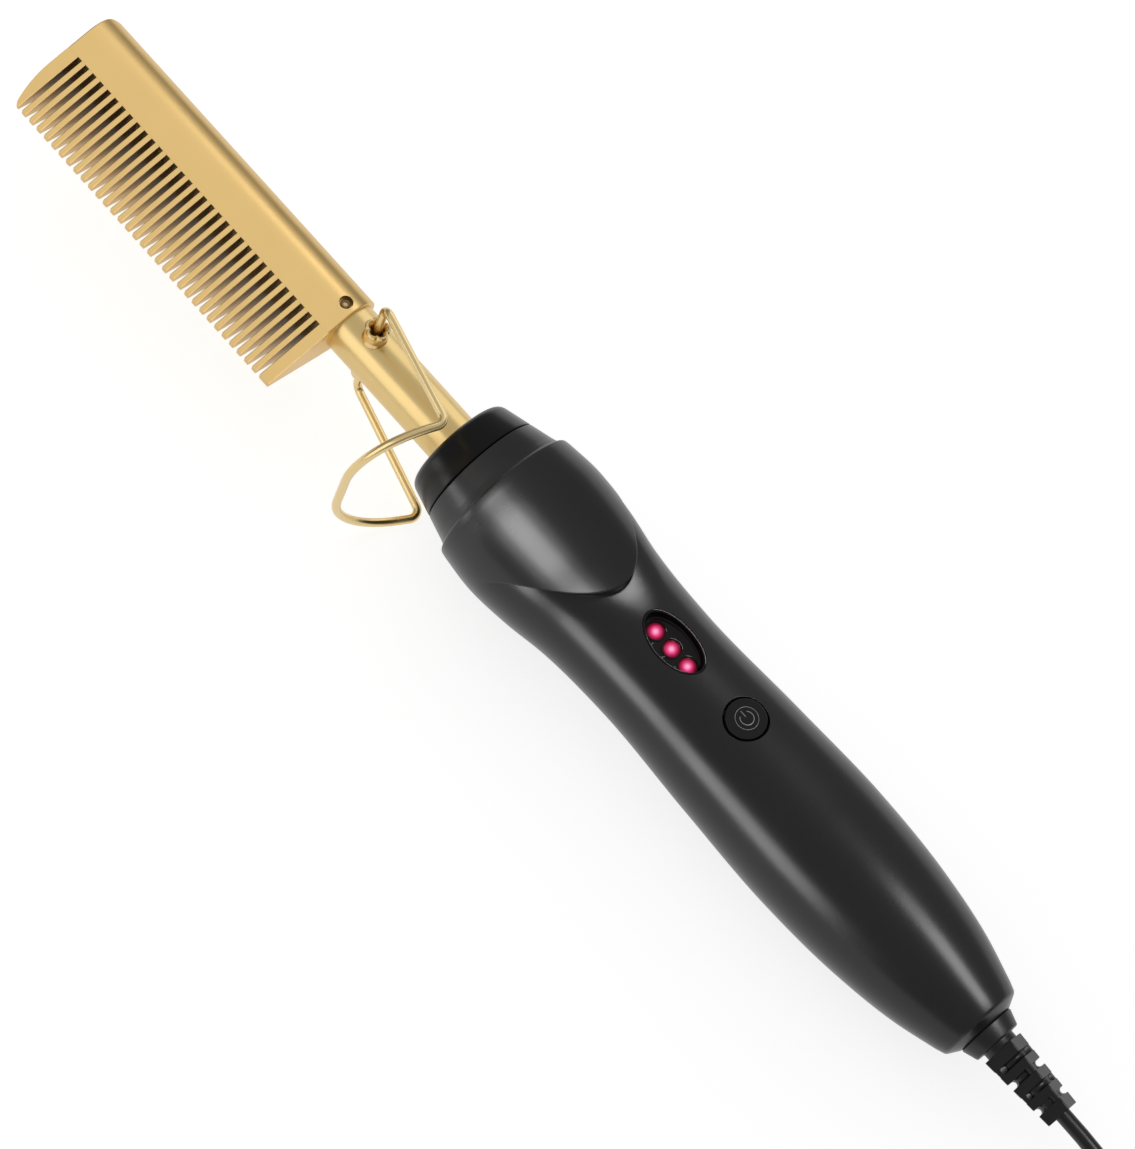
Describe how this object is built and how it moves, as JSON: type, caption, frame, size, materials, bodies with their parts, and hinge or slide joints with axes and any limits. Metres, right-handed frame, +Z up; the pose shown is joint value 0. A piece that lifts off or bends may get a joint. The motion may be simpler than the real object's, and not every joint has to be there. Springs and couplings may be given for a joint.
{
  "type": "hot comb",
  "caption": "Electric hot comb: gold wedge comb on a metal stem, folding wire stand, waisted black handle with lit level lamps and push button, and mains lead with flat plug.",
  "frame": {"origin": "under the middle of the tool as it lies on a table, on the table surface", "axes": "+X towards the cord along the tool, +Y towards the spine of the comb, +Z up; the tool lies with its buttons up, leaning 2.73 degrees down to the cord end because the folded stand is wider than the handle"},
  "size_m": [0.4868, 0.067, 0.0464],
  "materials": {
    "comb_gold": "satin gold plating",
    "tube_gold": "polished gold plating",
    "wire_gold": "bright pale gold plating",
    "eyelet_gold": "polished",
    "screw_steel": "plated",
    "heater_aluminium": "plain",
    "insulation_film": "amber film",
    "electrode_brass": "plain",
    "ptc_ceramic": "ceramic",
    "lead_white": "silicone insulation",
    "lead_red": "insulation",
    "bead_glass": "epoxy bead",
    "fuse_metal": "plated can",
    "collar_black": "glossy heat-resistant plastic",
    "mica": "mica",
    "flange_steel": "pressed steel",
    "handle_black": "satin black moulded plastic",
    "window_smoke": "smoked glossy plastic",
    "led_red": "lit red-pink lens",
    "holder_black": "moulded",
    "button_black": "glossy plastic",
    "switch_dark": "moulded",
    "board_green": "solder mask",
    "sled_grey": "moulded",
    "screw_plain": "zinc plated",
    "chip_black": "moulded",
    "capacitor_red": "dipped",
    "capacitor_can": "sleeved can",
    "core_blue": "core insulation",
    "cord_black": "glossy black jacket",
    "boot_black": "fine-textured black",
    "plug_black": "moulded",
    "pin_steel": "nickel plated"
  },
  "bodies": {
    "tool": {"comb_head": "comb_gold", "comb_set_screw": "screw_steel", "heater_wedge_upper": "heater_aluminium", "heater_wedge_lower": "heater_aluminium", "heater_insulation": "insulation_film", "heater_electrodes": "electrode_brass", "ptc_heaters": "ptc_ceramic", "heater_leads": "lead_white", "sensor_leads": "lead_red", "thermistor": "bead_glass", "thermal_fuse": "fuse_metal", "stem_tube": "tube_gold", "stand_eyelet_upper": "eyelet_gold", "stand_eyelet_lower": "eyelet_gold", "front_collar": "collar_black", "mica_washer": "mica", "stem_flange": "flange_steel", "handle_barrel": "handle_black", "window_bezel": "window_smoke", "led_1": "led_red", "led_2": "led_red", "led_3": "led_red", "led_holder": "holder_black", "tact_switch": "switch_dark", "board_sled": "sled_grey", "control_board": "board_green", "board_screws": "screw_plain", "controller_chip": "chip_black", "triac": "chip_black", "film_capacitor": "capacitor_red", "bulk_capacitor": "capacitor_can", "cord_clamp": "sled_grey", "clamp_screws": "screw_plain", "cord_cores": "core_blue", "jacket_end": "cord_black", "strain_relief": "boot_black", "cord_run": "cord_black", "cord_coil": "cord_black", "cord_tie": "plug_black", "cord_tail": "cord_black", "plug_body": "plug_black", "plug_pins": "pin_steel"},
    "stand": {"wire_stand": "wire_gold"},
    "button": {"power_button": "button_black", "switch_plunger": "switch_dark"}
  },
  "joints": [
    {"name": "stand_swing", "type": "hinge", "parent": "tool", "child": "stand", "pos_m": [-0.0642, 0.00476, 0.02455], "axis": [-0.0477, 0, -0.9989], "range_deg": [0, 77]},
    {"name": "button_press", "type": "slide", "parent": "tool", "child": "button", "axis": [-0.0477, 0, -0.9989], "range_m": [0, 0.0006], "stiffness_N_per_m": 1000, "springref_m": -0.0008}
  ]
}
